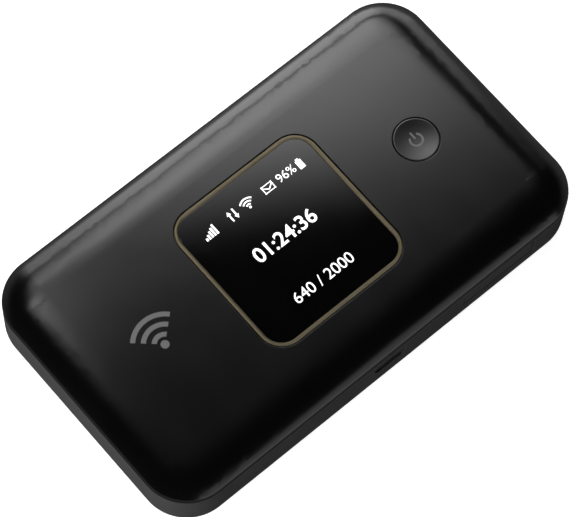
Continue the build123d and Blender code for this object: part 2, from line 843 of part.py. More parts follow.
with BuildPart() as sim_card:
    with BuildSketch(Plane.XY.offset(sim_z)) as card_outline:
        with Locations((sim_x, sim_y)):
            Rectangle(sim_width, sim_length)
        inner_corners = card_outline.vertices().group_by(Axis.Y)[-1].sort_by(Axis.X)
        chamfer(inner_corners[-1], sim_bevel)
        fillet(inner_corners[0], sim_corner)
        fillet(card_outline.vertices().group_by(Axis.Y)[0], sim_corner)
    extrude(amount=sim_thickness)
sim_card.part.label = "sim_card"
export_step(sim_card.part, "parts/sim_card.step")

with BuildPart() as reset_switch_body:
    block((reset_size, reset_size), reset_place, (board_z - switch_height, board_z), edge_break)
    reset_bore = (board_z - switch_height, board_z - sheet * 2)
    disc(reset_radius + plunger_gap, [reset_place], reset_bore, Mode.SUBTRACT)
reset_switch_body.part.label = "reset_switch_body"
export_step(reset_switch_body.part, "parts/reset_switch_body.step")

with BuildPart() as reset_plunger:
    disc(reset_radius, [reset_place], (chassis_plate_z, board_z - sheet * 2 - press_travel - edge_break))
reset_plunger.part.label = "reset_plunger"
export_step(reset_plunger.part, "parts/reset_plunger.step")

# ---------------------------------------------------------------------------
# Battery, its end cap and terminals, and the connector that they touch
# ---------------------------------------------------------------------------

battery_levels = (battery_base_z, battery_base_z + battery_thickness)
terminal_z = battery_base_z + battery_thickness / 2
cap_x = battery_left_x + battery_cap_length / 2
first_terminal_y = battery_y - (terminal_count - 1) / 2 * terminal_pitch
terminal_ys = [first_terminal_y + index * terminal_pitch for index in range(terminal_count)]

with BuildPart() as battery_cell:
    cell_length = battery_length - battery_cap_length
    block((cell_length, battery_width), (battery_x + battery_cap_length / 2, battery_y), battery_levels)
    fillet(battery_cell.edges().filter_by(Axis.Y), edge_break * 2)
battery_cell.part.label = "battery_cell"
export_step(battery_cell.part, "parts/battery_cell.step")

with BuildPart() as battery_cap:
    block((battery_cap_length, battery_width), (cap_x, battery_y), battery_levels)
    fillet(battery_cap.edges().filter_by(Axis.Y).sort_by(Axis.X)[:2], edge_break * 2)
    for terminal_y in terminal_ys:
        cross_block(
            (2 * terminal_thickness, terminal_size),
            (battery_left_x, terminal_z),
            (terminal_y - terminal_size / 3, terminal_y + terminal_size / 3),
            mode=Mode.SUBTRACT,
        )
battery_cap.part.label = "battery_cap"
export_step(battery_cap.part, "parts/battery_cap.step")

with BuildPart() as battery_terminals:
    for terminal_y in terminal_ys:
        cross_block(
            (terminal_thickness, terminal_size),
            (battery_left_x + terminal_thickness / 2, terminal_z),
            (terminal_y - terminal_size / 3, terminal_y + terminal_size / 3),
        )
battery_terminals.part.label = "battery_terminals"
export_step(battery_terminals.part, "parts/battery_terminals.step")

with BuildPart() as battery_connector:
    connector_x = battery_left_x - battery_gap - edge_break - terminal_block[0] / 2
    block(terminal_block, (connector_x, battery_y), (terminal_block_z, board_z))
battery_connector.part.label = "battery_connector"
export_step(battery_connector.part, "parts/battery_connector.step")

with BuildPart() as battery_springs:
    spring_low_x = battery_left_x - battery_gap - edge_break
    spring_high_x = battery_left_x - fit_gap
    for terminal_y in terminal_ys:
        cross_block(
            (spring_high_x - spring_low_x, terminal_size / 2),
            ((spring_low_x + spring_high_x) / 2, terminal_z),
            (terminal_y - terminal_size / 5, terminal_y + terminal_size / 5),
            edge_break,
        )
battery_springs.part.label = "battery_springs"
export_step(battery_springs.part, "parts/battery_springs.step")

# ---------------------------------------------------------------------------
# Upper side of the board: Wi-Fi section and antennas
# ---------------------------------------------------------------------------

with BuildPart() as wifi_shield:
    shield_can(wifi_can_size, wifi_place, (board_top_z, board_top_z + shield_depth), board_top_z)
wifi_shield.part.label = "wifi_shield"
export_step(wifi_shield.part, "parts/wifi_shield.step")

with BuildPart() as wifi_chip:
    block(wifi_chip_size, wifi_place, (board_top_z, board_top_z + chip_height))
wifi_chip.part.label = "wifi_chip"
export_step(wifi_chip.part, "parts/wifi_chip.step")

with BuildPart() as wifi_antennas:
    with BuildSketch(Plane.XY.offset(board_top_z)) as chip_antenna_outline:
        with Locations((-wifi_antenna_x, wifi_antenna_y), (wifi_antenna_x, wifi_antenna_y)):
            Rectangle(*wifi_antenna_size)
    extrude(chip_antenna_outline.sketch, amount=chip_height)
wifi_antennas.part.label = "wifi_antennas"
export_step(wifi_antennas.part, "parts/wifi_antennas.step")

carrier_levels = (board_top_z, board_top_z + carrier_height)
foil_levels = (carrier_levels[1], carrier_levels[1] + foil)

with BuildPart() as antenna_carrier_left:
    block(carrier_size, (-carrier_x, 0), carrier_levels, edge_break)
antenna_carrier_left.part.label = "antenna_carrier_left"
export_step(antenna_carrier_left.part, "parts/antenna_carrier_left.step")

with BuildPart() as antenna_carrier_right:
    block(carrier_size, (carrier_x, 0), carrier_levels, edge_break)
antenna_carrier_right.part.label = "antenna_carrier_right"
export_step(antenna_carrier_right.part, "parts/antenna_carrier_right.step")

with BuildPart() as lte_diversity_antenna:
    meander(foil_size, (-carrier_x, 0), foil_levels, diversity_antenna_slots)
lte_diversity_antenna.part.label = "lte_diversity_antenna"
export_step(lte_diversity_antenna.part, "parts/lte_diversity_antenna.step")

with BuildPart() as lte_main_antenna:
    meander(foil_size, (carrier_x, 0), foil_levels, main_antenna_slots)
lte_main_antenna.part.label = "lte_main_antenna"
export_step(lte_main_antenna.part, "parts/lte_main_antenna.step")
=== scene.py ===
import json
import math

import bmesh
import bpy
from mathutils import Matrix, Vector


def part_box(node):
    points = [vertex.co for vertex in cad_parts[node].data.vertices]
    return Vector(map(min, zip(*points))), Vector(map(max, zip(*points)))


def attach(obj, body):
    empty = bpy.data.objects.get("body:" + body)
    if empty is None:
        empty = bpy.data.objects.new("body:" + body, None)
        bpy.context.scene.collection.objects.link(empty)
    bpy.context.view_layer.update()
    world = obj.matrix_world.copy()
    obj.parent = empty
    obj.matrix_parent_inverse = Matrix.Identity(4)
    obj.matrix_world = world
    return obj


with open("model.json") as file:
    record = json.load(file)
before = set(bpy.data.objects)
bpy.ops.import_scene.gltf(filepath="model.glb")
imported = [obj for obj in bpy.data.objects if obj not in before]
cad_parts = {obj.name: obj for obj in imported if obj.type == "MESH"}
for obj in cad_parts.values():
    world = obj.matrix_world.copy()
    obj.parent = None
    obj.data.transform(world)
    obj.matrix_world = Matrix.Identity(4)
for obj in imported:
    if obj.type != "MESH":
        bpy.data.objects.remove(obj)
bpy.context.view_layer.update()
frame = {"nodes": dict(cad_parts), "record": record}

# Pocket mobile hotspot lying on its back. Everything is in metres in the CAD frame:
# +X runs to the power button, +Y away from the USB port and +Z up out of the display.
MM = 0.001

# ---------------------------------------------------------------------------
# Places taken from the frame
# ---------------------------------------------------------------------------

_, cover_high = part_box("top_cover")
_, window_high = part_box("display_window")
button_low, button_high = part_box("power_button")

print_thickness = 0.01 * MM
button_centre = (button_low + button_high) / 2


# ---------------------------------------------------------------------------
# Node helpers
# ---------------------------------------------------------------------------

class Finish:
    """A material under construction: its node tree, its shader and the textures that feed it."""

    def __init__(self, name):
        self.material = bpy.data.materials.new(name)
        self.material.use_nodes = True
        self.tree = self.material.node_tree
        self.shader = self.tree.nodes["Principled BSDF"]
        self.place = self.add("ShaderNodeTexCoord").outputs["Object"]
        self.normal = None

    def add(self, kind, **settings):
        """New node of a kind, with its settings."""
        node = self.tree.nodes.new(kind)
        for key, value in settings.items():
            setattr(node, key, value)
        return node

    def link(self, output, socket):
        """Wires an output to a socket."""
        self.tree.links.new(output, socket)

    def noise(self, feature, detail=3.0, stretch=(1.0, 1.0, 1.0), rough=0.5):
        """Noise whose features are about as wide as the given length, drawn out along an axis."""
        mapping = self.add("ShaderNodeMapping")
        mapping.inputs["Scale"].default_value = [1.0 / factor for factor in stretch]
        texture = self.add("ShaderNodeTexNoise")
        texture.inputs["Scale"].default_value = 1.0 / feature
        texture.inputs["Detail"].default_value = detail
        texture.inputs["Roughness"].default_value = rough
        self.link(self.place, mapping.inputs["Vector"])
        self.link(mapping.outputs["Vector"], texture.inputs["Vector"])
        return texture.outputs["Fac"]

    def cells(self, feature):
        """Distance to the nearest of scattered points, for flakes, pores and pebbled grain."""
        texture = self.add("ShaderNodeTexVoronoi")
        texture.inputs["Scale"].default_value = 1.0 / feature
        self.link(self.place, texture.inputs["Vector"])
        return texture.outputs["Distance"]

    def spread(self, factor, low, high, start=0.3, end=0.7):
        """Maps start..end of a factor to low..high."""
        mapped = self.add("ShaderNodeMapRange", clamp=True)
        mapped.inputs["From Min"].default_value = start
        mapped.inputs["From Max"].default_value = end
        mapped.inputs["To Min"].default_value = low
        mapped.inputs["To Max"].default_value = high
        self.link(factor, mapped.inputs["Value"])
        return mapped.outputs["Result"]

    def blend(self, factor, first, second):
        """Mixes two colours, each a colour value or an output."""
        mixed = self.add("ShaderNodeMix", data_type="RGBA")
        self.link(factor, mixed.inputs[0])
        for socket, colour in ((mixed.inputs[6], first), (mixed.inputs[7], second)):
            if isinstance(colour, tuple):
                socket.default_value = (*colour, 1.0)
            else:
                self.link(colour, socket)
        return mixed.outputs[2]

    def edges(self, radius, start=0.995, end=0.9):
        """1 on edges and corners, 0 on open faces: how far a rounded normal leans from the true one.

        start and end are the cosines of the lean at which the mask begins and is full.
        """
        rounded = self.add("ShaderNodeBevel", samples=6)
        rounded.inputs["Radius"].default_value = radius
        geometry = self.add("ShaderNodeNewGeometry")
        lean = self.add("ShaderNodeVectorMath", operation="DOT_PRODUCT")
        self.link(rounded.outputs["Normal"], lean.inputs[0])
        self.link(geometry.outputs["Normal"], lean.inputs[1])
        return self.spread(lean.outputs["Value"], 0.0, 1.0, start, end)

    def bump(self, height, depth, strength=1.0):
        """Adds relief of the given depth on top of what is there already."""
        relief = self.add("ShaderNodeBump")
        relief.inputs["Distance"].default_value = depth
        relief.inputs["Strength"].default_value = strength
        self.link(height, relief.inputs["Height"])
        if self.normal:
            self.link(self.normal, relief.inputs["Normal"])
        self.normal = relief.outputs["Normal"]

    def close(self, colour, roughness, metallic=0.0, specular=0.5, **sockets):
        """Plugs the colour, roughness and relief into the shader and sets what is the same all over."""
        self.link(colour, self.shader.inputs["Base Color"])
        self.link(roughness, self.shader.inputs["Roughness"])
        if self.normal:
            self.link(self.normal, self.shader.inputs["Normal"])
        self.shader.inputs["Metallic"].default_value = metallic
        self.shader.inputs["Specular IOR Level"].default_value = specular
        for key, value in sockets.items():
            self.shader.inputs[key.replace("_", " ").title()].default_value = value
        return self.material


def grey(level, warmth=0.0):
    """Grey colour; warmth shifts it from blue to red."""
    return (level * (1.0 + warmth), level, level * (1.0 - warmth))


# ---------------------------------------------------------------------------
# Materials
# ---------------------------------------------------------------------------

def coated_plastic(name, base, pale_edge, roughness, specular, grain=0.12 * MM, relief=0.0012 * MM):
    """Satin coating: fine grain, slow changes of gloss and slightly rubbed edges, whose paler colour also
    paints a thin edge highlight.
    """
    finish = Finish(name)
    patches = finish.noise(9 * MM, detail=4.0)
    fine = finish.noise(grain, detail=2.0)
    tone = finish.blend(finish.spread(patches, 0.0, 1.0), base, tuple(level * 1.25 for level in base))
    # Paler edges: rubbed coating, and a painted highlight along the rim
    tone = finish.blend(finish.edges(0.35 * MM), tone, pale_edge)
    finish.bump(fine, relief)
    return finish.close(tone, finish.spread(patches, *roughness), specular=specular)


def moulded_plastic(name, base, grain, relief, roughness=(0.5, 0.62), specular=0.4, pale_edge=1.8):
    """Textured mould finish: pebbled grain over faint flow marks, paler where it is handled."""
    finish = Finish(name)
    flow = finish.noise(14 * MM, detail=3.0, stretch=(3.0, 1.0, 1.0))
    pebble = finish.cells(grain)
    fine = finish.noise(grain / 3, detail=2.0)
    darker = tuple(level * 0.85 for level in base)
    lighter = tuple(level * 1.15 for level in base)
    tone = finish.blend(finish.spread(flow, 0.0, 1.0), darker, lighter)
    tone = finish.blend(finish.edges(0.25 * MM), tone, tuple(level * pale_edge for level in base))
    finish.bump(pebble, relief)
    finish.bump(fine, relief / 3)
    return finish.close(tone, finish.spread(flow, *roughness), specular=specular)


def brushed_metal(name, base, roughness, stretch, line=0.05 * MM, relief=0.0008 * MM, metallic=1.0):
    """Metal with a fine grain, which stretch draws out into lines, and a few dull patches."""
    finish = Finish(name)
    lines = finish.noise(line, detail=2.0, stretch=stretch)
    patches = finish.noise(3 * MM, detail=3.0)
    darker = tuple(level * 0.86 for level in base)
    tone = finish.blend(finish.spread(lines, 0.0, 1.0), darker, base)
    tone = finish.blend(finish.edges(0.15 * MM), tone, tuple(min(level * 1.15, 1.0) for level in base))
    finish.bump(lines, relief)
    return finish.close(tone, finish.spread(patches, *roughness), metallic=metallic)


def black_glass(name):
    """Polished black window with faint smudges that only show in the gloss."""
    finish = Finish(name)
    smudges = finish.noise(6 * MM, detail=5.0, stretch=(1.0, 2.2, 1.0), rough=0.6)
    haze = finish.noise(0.6 * MM, detail=2.0)
    tone = finish.blend(finish.spread(haze, 0.0, 1.0), grey(0.0004), grey(0.0008))
    finish.bump(smudges, 0.0006 * MM)
    return finish.close(tone, finish.spread(smudges, 0.05, 0.08), specular=1.0)


def foam(name, base):
    """Closed-cell foam or rubber."""
    finish = Finish(name)
    pores = finish.cells(0.25 * MM)
    patches = finish.noise(2 * MM)
    tone = finish.blend(finish.spread(pores, 0.0, 1.0, 0.1, 0.6), grey(base * 0.5), grey(base))
    finish.bump(pores, 0.03 * MM)
    return finish.close(tone, finish.spread(patches, 0.8, 0.95), specular=0.2)


def solder_mask(name):
    """Green board with tracks in a brick pattern that show as a lighter relief under the mask."""
    finish = Finish(name)
    tracks = finish.add("ShaderNodeTexBrick", offset=0.5)
    tracks.inputs["Scale"].default_value = 1.0 / (6 * MM)
    tracks.inputs["Mortar Size"].default_value = 0.03
    tracks.inputs["Color1"].default_value = (0.006, 0.06, 0.035, 1.0)
    tracks.inputs["Color2"].default_value = (0.008, 0.075, 0.04, 1.0)
    tracks.inputs["Mortar"].default_value = (0.02, 0.14, 0.07, 1.0)
    finish.link(finish.place, tracks.inputs["Vector"])
    weave = finish.noise(0.4 * MM, detail=2.0)
    finish.bump(tracks.outputs["Fac"], 0.02 * MM)
    finish.bump(weave, 0.003 * MM)
    return finish.close(tracks.outputs["Color"], finish.spread(weave, 0.3, 0.45))


def battery_wrap(name):
    """Dark shrink film over the cell: fine wrinkles and paler edges."""
    finish = Finish(name)
    wrinkles = finish.noise(2.5 * MM, detail=4.0, stretch=(1.0, 4.0, 1.0))
    fine = finish.noise(0.3 * MM)
    tone = finish.blend(finish.spread(wrinkles, 0.0, 1.0), grey(0.045), grey(0.07))
    tone = finish.blend(finish.edges(0.4 * MM), tone, grey(0.12))
    finish.bump(wrinkles, 0.02 * MM)
    finish.bump(fine, 0.003 * MM)
    return finish.close(tone, finish.spread(fine, 0.32, 0.45))


def printed_card(name):
    """White card with a fine tooth, faint stains and darker, handled edges."""
    finish = Finish(name)
    tooth = finish.noise(0.15 * MM)
    stain = finish.noise(5 * MM, detail=4.0)
    tone = finish.blend(finish.spread(stain, 0.0, 1.0), grey(0.74, 0.01), grey(0.82, 0.01))
    tone = finish.blend(finish.edges(0.2 * MM), tone, grey(0.5, 0.03))
    finish.bump(tooth, 0.004 * MM)
    return finish.close(tone, finish.spread(tooth, 0.3, 0.42))


def flake_plastic(name, base, specular, roughness=(0.42, 0.52)):
    """Fine matte grey with tiny metallic flakes in it, and a painted highlight along its edges."""
    finish = Finish(name)
    flakes = finish.cells(0.09 * MM)
    patches = finish.noise(7 * MM, detail=4.0)
    darker = tuple(level * 0.9 for level in base)
    tone = finish.blend(finish.spread(patches, 0.0, 1.0), darker, base)
    bright_flake = tuple(level * 1.6 for level in base)
    tone = finish.blend(finish.spread(flakes, 0.35, 0.0, 0.0, 0.35), tone, bright_flake)
    # Paler edges: a painted highlight, as this grey hardly reflects
    tone = finish.blend(finish.edges(0.3 * MM), tone, tuple(level * 1.5 for level in base))
    finish.bump(flakes, 0.0015 * MM)
    return finish.close(tone, finish.spread(patches, *roughness), specular=specular)


def lit_print(name, colour, strength):
    """Glowing picture elements with a fine dot grid."""
    finish = Finish(name)
    dots = finish.cells(0.09 * MM)
    dimmer = tuple(level * 0.9 for level in colour)
    glow = finish.blend(finish.spread(dots, 0.0, 1.0, 0.0, 0.9), colour, dimmer)
    finish.link(glow, finish.shader.inputs["Emission Color"])
    finish.shader.inputs["Emission Strength"].default_value = strength
    return finish.close(glow, finish.spread(dots, 0.3, 0.4))


def ink(name, base, roughness=(0.4, 0.55)):
    """Silk-screened ink with slightly uneven cover."""
    finish = Finish(name)
    cover = finish.noise(0.35 * MM, detail=4.0)
    tone = finish.blend(finish.spread(cover, 0.0, 1.0), tuple(level * 0.9 for level in base), base)
    finish.bump(cover, 0.002 * MM)
    return finish.close(tone, finish.spread(cover, *roughness), specular=0.4)


# Stretches for brushed metal: lines along X or along Y, or an even grain
along_x = (40.0, 1.0, 1.0)
along_y = (1.0, 40.0, 1.0)
even_grain = (1.0, 1.0, 1.0)
finishes = {
    # Cover: its paler edge colour is slight rubbing and a painted rim highlight
    "cover_black": coated_plastic(
        "cover_black", grey(0.001), pale_edge=grey(0.008), roughness=(0.175, 0.2), specular=0.8,
    ),
    # Button: its pale edge grey is a painted highlight round its rim
    "button_black": coated_plastic(
        "button_black", grey(0.0016), pale_edge=grey(0.12), roughness=(0.22, 0.26), specular=0.8,
    ),
    # Side frame and key: their paler edges are a painted edge highlight
    "frame_grey": flake_plastic("frame_grey", grey(0.022), specular=0.004, roughness=(0.75, 0.85)),
    "key_grey": flake_plastic("key_grey", grey(0.023), specular=0.004, roughness=(0.75, 0.85)),
    "back_black": moulded_plastic("back_black", grey(0.012), grain=0.5 * MM, relief=0.012 * MM),
    "ring_champagne": brushed_metal(
        "ring_champagne", (0.19, 0.16, 0.1), roughness=(0.36, 0.46), stretch=even_grain, metallic=0.7,
    ),
    "window_black": black_glass("window_black"),
    "foam_black": foam("foam_black", 0.03),
    "pad_grey": foam("pad_grey", 0.4),
    "panel_glass": coated_plastic(
        "panel_glass", grey(0.01), pale_edge=grey(0.03), roughness=(0.1, 0.16), specular=0.5,
    ),
    "connector_plastic": moulded_plastic(
        "connector_plastic", grey(0.02), grain=0.2 * MM, relief=0.004 * MM,
    ),
    "plunger_plastic": moulded_plastic(
        "plunger_plastic", grey(0.3, 0.04), grain=0.2 * MM, relief=0.004 * MM,
    ),
    "chassis_grey": moulded_plastic("chassis_grey", grey(0.03), grain=0.4 * MM, relief=0.01 * MM),
    "chip_black": moulded_plastic(
        "chip_black", grey(0.02), grain=0.12 * MM, relief=0.004 * MM, roughness=(0.55, 0.7),
    ),
    "antenna_ceramic": moulded_plastic(
        "antenna_ceramic", grey(0.7, 0.03), grain=0.3 * MM, relief=0.003 * MM, roughness=(0.2, 0.3),
    ),
    "flex_amber": coated_plastic(
        "flex_amber", (0.4, 0.16, 0.03), pale_edge=(0.6, 0.3, 0.08), roughness=(0.25, 0.35), specular=0.5,
    ),
    "backlight_steel": brushed_metal("backlight_steel", grey(0.6), (0.3, 0.4), along_x),
    "switch_steel": brushed_metal("switch_steel", grey(0.6), (0.3, 0.4), along_y),
    "usb_steel": brushed_metal("usb_steel", grey(0.68), (0.24, 0.34), along_y),
    "shield_steel": brushed_metal("shield_steel", grey(0.6), (0.3, 0.42), along_x),
    "screw_steel": brushed_metal("screw_steel", grey(0.25), (0.3, 0.4), even_grain),
    "contact_gold": brushed_metal("contact_gold", (0.83, 0.6, 0.25), (0.22, 0.32), along_y),
    "board_green": solder_mask("board_green"),
    "card_white": printed_card("card_white"),
    "cell_wrap": battery_wrap("cell_wrap"),
}

for subpart in frame["record"]["subparts"]:
    node = frame["nodes"][subpart["node"]]
    for material_slot in node.material_slots:
        material_slot.material = finishes[subpart["material_slot"]]


def even_shading(node, join_reach=0.001 * MM, crease_angle=25):
    """Joins a node's faces so that its smooth shading runs on across their borders."""
    node.modifiers.new("join", "WELD").merge_threshold = join_reach
    node.modifiers.new("creases", "EDGE_SPLIT").split_angle = math.radians(crease_angle)
    node.modifiers.new("normals", "WEIGHTED_NORMAL").keep_sharp = True


even_shading(frame["nodes"]["top_cover"])
even_shading(frame["nodes"]["power_button"])


# ---------------------------------------------------------------------------
# Flat symbols
# ---------------------------------------------------------------------------

def arc_points(centre, radius, start, end, steps=24):
    """Points on an arc, with angles in degrees counted from +X towards +Y."""
    angles = [math.radians(start + (end - start) * step / steps) for step in range(steps + 1)]
    return [(centre[0] + radius * math.cos(angle), centre[1] + radius * math.sin(angle)) for angle in angles]


def band(centre, inner, outer, start, end, steps=24):
    """Outline of a piece of a ring."""
    return arc_points(centre, outer, start, end, steps) + arc_points(centre, inner, end, start, steps)


def disc(centre, radius, sides=24):
    """Outline of a full circle."""
    return arc_points(centre, radius, 0, 360 - 360 / sides, sides - 1)


def bar(centre, size, radius, steps=6):
    """Outline of a rectangle with rounded corners."""
    across, along = size[0] / 2 - radius, size[1] / 2 - radius
    corners = ((across, along, 0), (-across, along, 90), (-across, -along, 180), (across, -along, 270))
    outline = []
    for x, y, start in corners:
        outline += arc_points((centre[0] + x, centre[1] + y), radius, start, start + 90, steps)
    return outline


def plate(name, outlines, base_z, thickness, material, body="root", rise=None):
    """Thin solid with the given outlines; rise(x, y) adds to its height where the ground is curved."""
    mesh = bpy.data.meshes.new(name)
    built = bmesh.new()
    for outline in outlines:
        built.faces.new([built.verts.new((x, y, base_z)) for x, y in outline])
    built.normal_update()
    bmesh.ops.triangulate(built, faces=built.faces)
    raised = bmesh.ops.extrude_face_region(built, geom=list(built.faces))
    upper = [item for item in raised["geom"] if isinstance(item, bmesh.types.BMVert)]
    bmesh.ops.translate(built, verts=upper, vec=(0, 0, thickness))
    if rise:
        for vertex in built.verts:
            vertex.co.z += rise(vertex.co.x, vertex.co.y)
    bmesh.ops.recalc_face_normals(built, faces=built.faces)
    built.to_mesh(mesh)
    built.free()
    mesh.materials.append(material)
    piece = bpy.data.objects.new(name, mesh)
    bpy.context.scene.collection.objects.link(piece)
    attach(piece, body)
    return piece


# Cap height of Blender's own font, as a share of its size
font_cap_share = 0.73


def digits(name, text, centre, cap_height, base_z, material, weight=0.0):
    """Row of digits and signs, upright along +Y, centred on a point; weight thickens the strokes."""
    curve = bpy.data.curves.new(name, "FONT")
    curve.body = text
    curve.align_x = "CENTER"
    curve.align_y = "CENTER"
    curve.size = cap_height / font_cap_share
    curve.offset = weight
    curve.extrude = print_thickness / 2
    curve.materials.append(material)
    piece = bpy.data.objects.new(name, curve)
    piece.location = (*centre, base_z + print_thickness)
    bpy.context.scene.collection.objects.link(piece)
    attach(piece, "root")
    return piece


def wireless_mark(centre, height, spread, strokes=3):
    """Outlines of a dot with arcs above it, filling the given height.

    spread is the angle in degrees that the arcs reach to each side of +Y.
    """
    pitch = height / (strokes + 0.5)
    dot_radius = pitch * 0.42
    half_stroke = pitch * 0.24
    foot = (centre[0], centre[1] - height / 2 + dot_radius)
    outlines = [disc(foot, dot_radius)]
    for ring in range(1, strokes + 1):
        middle = ring * pitch
        outlines.append(band(foot, middle - half_stroke, middle + half_stroke, 90 - spread, 90 + spread))
    return outlines


# Grey wireless symbol printed on the cover, to the left of the display
print_grey = ink("print_grey", grey(0.21))
emblem_centre = (-31.1 * MM, 1.3 * MM)
emblem_height = 7.0 * MM
plate(
    "cover_wireless_mark",
    wireless_mark(emblem_centre, emblem_height, spread=48),
    cover_high.z,
    print_thickness,
    print_grey,
)

# Status row at the top of the display
screen_white = lit_print("screen_white", (1.0, 1.0, 1.0), 1.0)
screen_z = window_high.z + print_thickness
row_y = 10.45 * MM
row_height = 2.3 * MM
row_foot = row_y - row_height / 2
# Steps per corner of the small symbols
coarse = 2


def screen_plate(name, outlines):
    """Lit symbol on the display."""
    return plate(name, outlines, screen_z, print_thickness, screen_white)


def screen_digits(name, text, centre, cap_height, weight=0.0):
    """Lit digits on the display."""
    return digits(name, text, centre, cap_height, screen_z, screen_white, weight)


def signal_bars(left_x, count=5):
    """Bars that grow from left to right, the last one as high as the row."""
    pitch, width, corner = 0.62 * MM, 0.42 * MM, 0.05 * MM
    outlines = []
    for index in range(count):
        height = row_height * (index + 1.5) / (count + 0.5)
        middle = (left_x + index * pitch, row_foot + height / 2)
        outlines.append(bar(middle, (width, height), corner, coarse))
    return outlines


def arrow(x, up):
    """Arrow along Y with its head up or down."""
    turn = 1 if up else -1
    half_head, half_stem, head = 0.5 * MM, 0.17 * MM, 0.8 * MM
    reach = row_height / 2
    profile = (
        (0, reach), (-half_head, reach - head), (-half_stem, reach - head), (-half_stem, -reach),
        (half_stem, -reach), (half_stem, reach - head), (half_head, reach - head),
    )
    return [(x + turn * across, row_y + turn * along) for across, along in profile]


def envelope(x, width):
    """Envelope as a rim, with the flap as a bent line across it."""
    line = 0.2 * MM
    corner = line / 4
    height = row_height * 0.75
    low, high = row_y - height / 2, row_y + height / 2
    left, right = x - width / 2, x + width / 2
    flap_top, flap_foot = line, 2.4 * line
    flap = [
        (left, high - flap_top), (x, row_y - flap_top), (right, high - flap_top),
        (right, high - flap_foot), (x, row_y - flap_foot), (left, high - flap_foot),
    ]
    sides = [
        bar((x, low + line / 2), (width, line), corner, coarse),
        bar((x, high - line / 2), (width, line), corner, coarse),
        bar((left + line / 2, row_y), (line, height), corner, coarse),
        bar((right - line / 2, row_y), (line, height), corner, coarse),
    ]
    return sides + [flap]


def battery_mark(x):
    """Full battery, standing on its foot."""
    width, height, cap = 1.25 * MM, 1.95 * MM, 0.35 * MM
    body_corner, cap_corner = 0.08 * MM, 0.05 * MM
    body = bar((x, row_foot + height / 2), (width, height), body_corner, coarse)
    tip = bar((x, row_foot + height + cap / 2), (width / 2, cap), cap_corner, coarse)
    return [body, tip]


screen_plate("status_signal", signal_bars(left_x=-11.7 * MM))
screen_plate("status_arrows", [arrow(-5.4 * MM, up=True), arrow(-4.2 * MM, up=False)])
screen_plate("status_wireless", wireless_mark((-1.2 * MM, row_y), row_height, spread=45))
screen_plate("status_envelope", envelope(3.95 * MM, width=2.5 * MM))
screen_plate("status_battery", battery_mark(11.75 * MM))
screen_digits("status_charge", "96%", (8.35 * MM, row_y), cap_height=1.9 * MM)
screen_digits("screen_clock", "01:24:36", (0, 0.9 * MM), cap_height=3.1 * MM, weight=0.06 * MM)
screen_digits("screen_counter", "640 / 2000", (0, -10.15 * MM), cap_height=2.4 * MM)

# Power symbol in the dish of the button. The dish is part of a sphere.
button_radius = 4.5 * MM
button_flat_rim = 0.3 * MM
dish_depth = 0.2 * MM
dish_rim = button_radius - button_flat_rim
dish_radius = (dish_rim**2 + dish_depth**2) / (2 * dish_depth)
symbol_radius = 1.25 * MM
symbol_stroke = 0.4 * MM
# Degrees that the ring of the symbol leaves open round +Y
symbol_opening = 80


def dish_rise(x, y):
    """Height of the dish over its lowest point."""
    off_centre = math.hypot(x - button_centre.x, y - button_centre.y)
    return dish_radius - math.sqrt(dish_radius**2 - off_centre**2)


symbol_ring = band(
    (button_centre.x, button_centre.y),
    symbol_radius - symbol_stroke / 2,
    symbol_radius + symbol_stroke / 2,
    90 + symbol_opening / 2,
    450 - symbol_opening / 2,
    steps=40,
)
symbol_bar = bar(
    (button_centre.x, button_centre.y + symbol_radius * 0.85),
    (symbol_stroke, symbol_radius * 1.3),
    symbol_stroke / 3,
)
plate(
    "button_power_mark",
    [symbol_ring, symbol_bar],
    button_high.z - dish_depth,
    print_thickness,
    ink("button_ink", grey(0.2)),
    "power_button",
    dish_rise,
)

# ---------------------------------------------------------------------------
# Floor, lights, world and camera
# ---------------------------------------------------------------------------

floor_reach = 12.0
floor_gap = 0.02 * MM
floor_mesh = bpy.data.meshes.new("floor")
floor_builder = bmesh.new()
bmesh.ops.create_grid(floor_builder, x_segments=8, y_segments=8, size=floor_reach)
floor_builder.to_mesh(floor_mesh)
floor_builder.free()
floor = bpy.data.objects.new("floor", floor_mesh)
floor.location.z = -floor_gap
bpy.context.scene.collection.objects.link(floor)
# The glossy walls show the dim studio, not the bright floor
floor.visible_glossy = False
floor_finish = Finish("floor_paper")
floor_fibre = floor_finish.noise(1.2 * MM, detail=4.0)
floor_tone = floor_finish.blend(floor_finish.spread(floor_fibre, 0.0, 1.0), grey(0.86), grey(0.88))
floor_rough = floor_finish.spread(floor_fibre, 0.85, 0.95)
# The floor glows as well, like a light table
floor_paper = floor_finish.close(
    floor_tone, floor_rough, specular=0.2, emission_color=(1, 1, 1, 1), emission_strength=0.8,
)
floor_mesh.materials.append(floor_paper)


def fade_sides(light, shares):
    """Fades a light out smoothly over a share of its size at each of its four sides."""
    light.use_nodes = True
    tree = light.node_tree
    split = tree.nodes.new("ShaderNodeSeparateXYZ")
    tree.links.new(tree.nodes.new("ShaderNodeNewGeometry").outputs["Parametric"], split.inputs["Vector"])
    level = None
    for index, share in enumerate(shares):
        ramp = tree.nodes.new("ShaderNodeMapRange")
        ramp.interpolation_type = "SMOOTHSTEP"
        ramp.inputs["From Min"].default_value = 1.0 if index % 2 else 0.0
        ramp.inputs["From Max"].default_value = 1.0 - share if index % 2 else share
        tree.links.new(split.outputs[index // 2], ramp.inputs["Value"])
        product = tree.nodes.new("ShaderNodeMath")
        product.operation = "MULTIPLY"
        tree.links.new(ramp.outputs["Result"], product.inputs[0])
        if level:
            tree.links.new(level, product.inputs[1])
        else:
            product.inputs[1].default_value = 1.0
        level = product.outputs["Value"]
    tree.links.new(level, tree.nodes["Emission"].inputs["Strength"])


